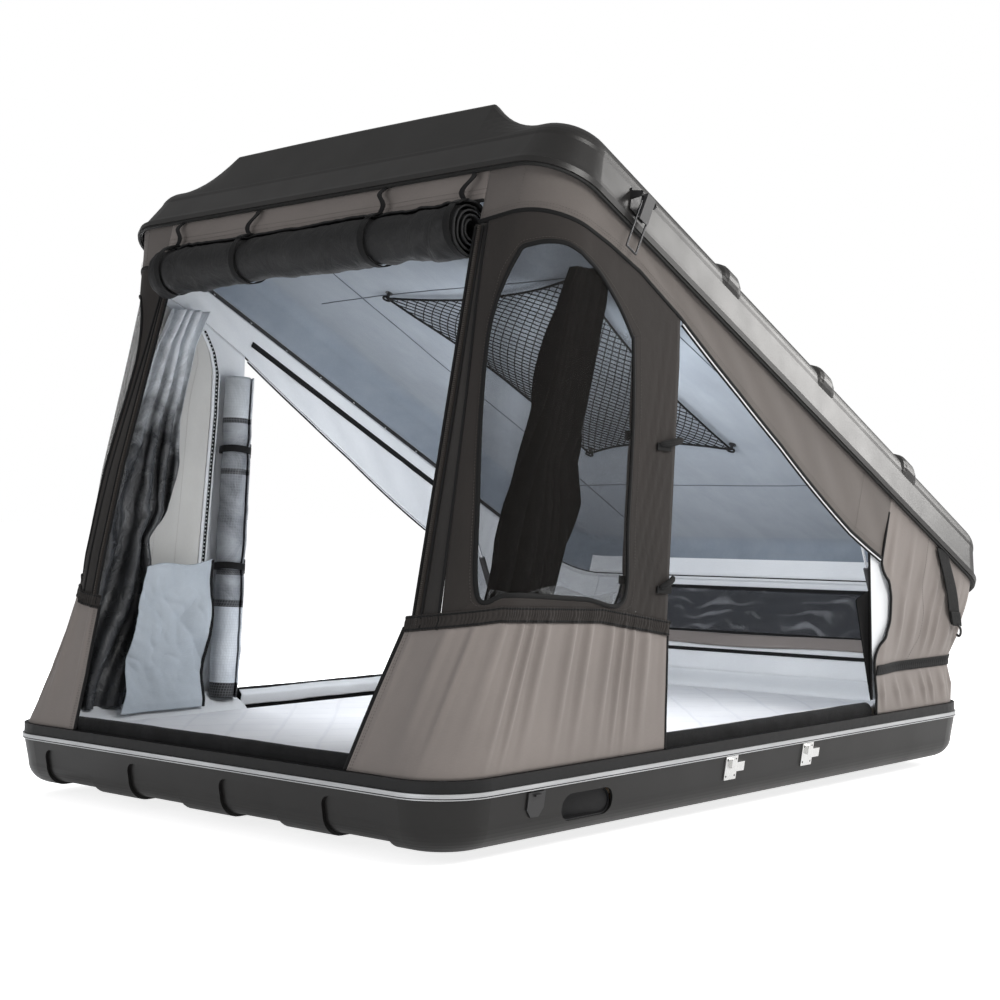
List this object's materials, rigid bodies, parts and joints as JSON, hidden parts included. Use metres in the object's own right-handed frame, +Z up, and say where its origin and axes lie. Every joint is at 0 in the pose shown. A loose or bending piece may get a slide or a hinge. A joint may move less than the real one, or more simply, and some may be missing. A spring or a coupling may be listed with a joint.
{
  "type": "roof top tent",
  "caption": "Hard-shell roof top tent with a moulded tub, a wedge-opening moulded lid on gas struts, canvas walls, rolled doors, mattress and roof rails.",
  "frame": {"origin": "centre of the roof bolt pattern, on the underside of the mounting rails", "axes": "+Z up, +Y towards the low rear end where the lid hinges, -Y towards the open front end, +X to the tent's side that is on the right when looking rearwards along +Y"},
  "size_m": [1.638, 2.2755, 1.661],
  "materials": {
    "shell": "satin",
    "strip": "satin",
    "rail": "matte",
    "board": "matte",
    "mattress": "matte",
    "foot_rail": "satin",
    "steel": "satin",
    "black_metal": "satin",
    "rod": "polished",
    "pad": "matte",
    "canvas": "matte",
    "window": "matte",
    "screen": "matte",
    "black_cloth": "matte",
    "roll": "matte",
    "felt": "matte",
    "gasket": "matte"
  },
  "bodies": {
    "base": {"base_shell": "shell", "trim_strip": "strip", "canvas_rail": "rail", "floor_board": "board", "floor_battens": "board", "mattress": "mattress", "mounting_rail_right": "foot_rail", "mounting_rail_left": "foot_rail", "rail_bolts": "steel", "ladder_brackets": "steel", "latch_keepers": "black_metal", "vent_liners": "rail", "sill_front": "pad", "sill_right": "pad", "sill_left": "pad", "strut_feet": "steel", "lower_panel_right": "canvas", "lower_panel_left": "canvas", "window_panel_right": "window", "window_panel_left": "window", "window_screen_right": "screen", "window_screen_left": "screen", "front_post_right": "window", "front_post_left": "window", "window_curtain_right": "black_cloth", "window_curtain_left": "black_cloth", "door_roll_right": "roll", "door_roll_left": "roll", "roll_toggles": "rail", "rear_column_right": "canvas", "rear_column_left": "canvas", "rear_wall": "canvas", "rear_pocket": "screen", "waist_band": "black_cloth"},
    "lid": {"lid_shell": "shell", "lid_gasket": "gasket", "lid_liner": "felt", "rim_batten": "rail", "gear_net": "black_cloth", "net_hooks": "rail", "latch_plates": "black_metal", "strut_heads": "steel", "upper_strip_right": "canvas", "upper_strip_left": "canvas", "front_valance": "canvas", "front_door_roll": "black_cloth", "roll_straps": "black_cloth", "rear_straps": "black_cloth"},
    "latch_lever_right": {"latch_lever_right": "black_metal"},
    "latch_lever_left": {"latch_lever_left": "black_metal"},
    "latch_bail_right": {"latch_bail_right": "steel"},
    "latch_bail_left": {"latch_bail_left": "steel"},
    "strut_tube_right": {"strut_tube_right": "black_metal"},
    "strut_tube_left": {"strut_tube_left": "black_metal"},
    "strut_rod_right": {"strut_rod_right": "rod"},
    "strut_rod_left": {"strut_rod_left": "rod"}
  },
  "joints": [
    {"name": "lid_close", "type": "hinge", "parent": "base", "child": "lid", "pos_m": [0, 1.69192, 0.11821], "axis": [1, 0, 0], "range_deg": [0, 28.1], "deforming": ["lower_panel_right", "lower_panel_left", "window_panel_right", "window_panel_left", "window_screen_right", "window_screen_left", "front_post_right", "front_post_left", "window_curtain_right", "window_curtain_left", "door_roll_right", "door_roll_left", "roll_toggles", "rear_column_right", "rear_column_left", "rear_wall", "rear_pocket", "waist_band", "upper_strip_right", "upper_strip_left", "front_valance", "front_door_roll", "roll_straps", "rear_straps"]},
    {"name": "strut_swing_right", "type": "hinge", "parent": "base", "child": "strut_tube_right", "pos_m": [0.715, 0.822, 0.112], "axis": [1, 0, 0], "range_deg": [0, 55.9]},
    {"name": "strut_slide_right", "type": "slide", "parent": "strut_tube_right", "child": "strut_rod_right", "axis": [0, -0.3781, 0.9258], "range_m": [-0.2816, 0]},
    {"name": "latch_lever_right_turn", "type": "hinge", "parent": "lid", "child": "latch_lever_right", "pos_m": [0.808, -0.43602, 1.41289], "axis": [0, -0.8821, 0.471], "range_deg": [0, 150]},
    {"name": "latch_bail_right_turn", "type": "hinge", "parent": "latch_lever_right", "child": "latch_bail_right", "pos_m": [0.811, -0.44308, 1.39966], "axis": [0, -0.8821, 0.471], "range_deg": [-5, 72]},
    {"name": "strut_swing_left", "type": "hinge", "parent": "base", "child": "strut_tube_left", "pos_m": [-0.715, 0.822, 0.112], "axis": [1, 0, 0], "range_deg": [0, 55.9]},
    {"name": "strut_slide_left", "type": "slide", "parent": "strut_tube_left", "child": "strut_rod_left", "axis": [0, -0.3781, 0.9258], "range_m": [-0.2816, 0]},
    {"name": "latch_lever_left_turn", "type": "hinge", "parent": "lid", "child": "latch_lever_left", "pos_m": [-0.808, -0.43602, 1.41289], "axis": [0, 0.8821, -0.471], "range_deg": [0, 150]},
    {"name": "latch_bail_left_turn", "type": "hinge", "parent": "latch_lever_left", "child": "latch_bail_left", "pos_m": [-0.811, -0.44308, 1.39966], "axis": [0, 0.8821, -0.471], "range_deg": [-5, 72]}
  ],
  "couplings": [
    {"joint": "strut_swing_right", "follows": "lid_close", "ratio": 1.9872},
    {"joint": "strut_slide_right", "follows": "lid_close", "m_per_rad": -0.57348},
    {"joint": "strut_swing_left", "follows": "lid_close", "ratio": 1.9872},
    {"joint": "strut_slide_left", "follows": "lid_close", "m_per_rad": -0.57348}
  ]
}
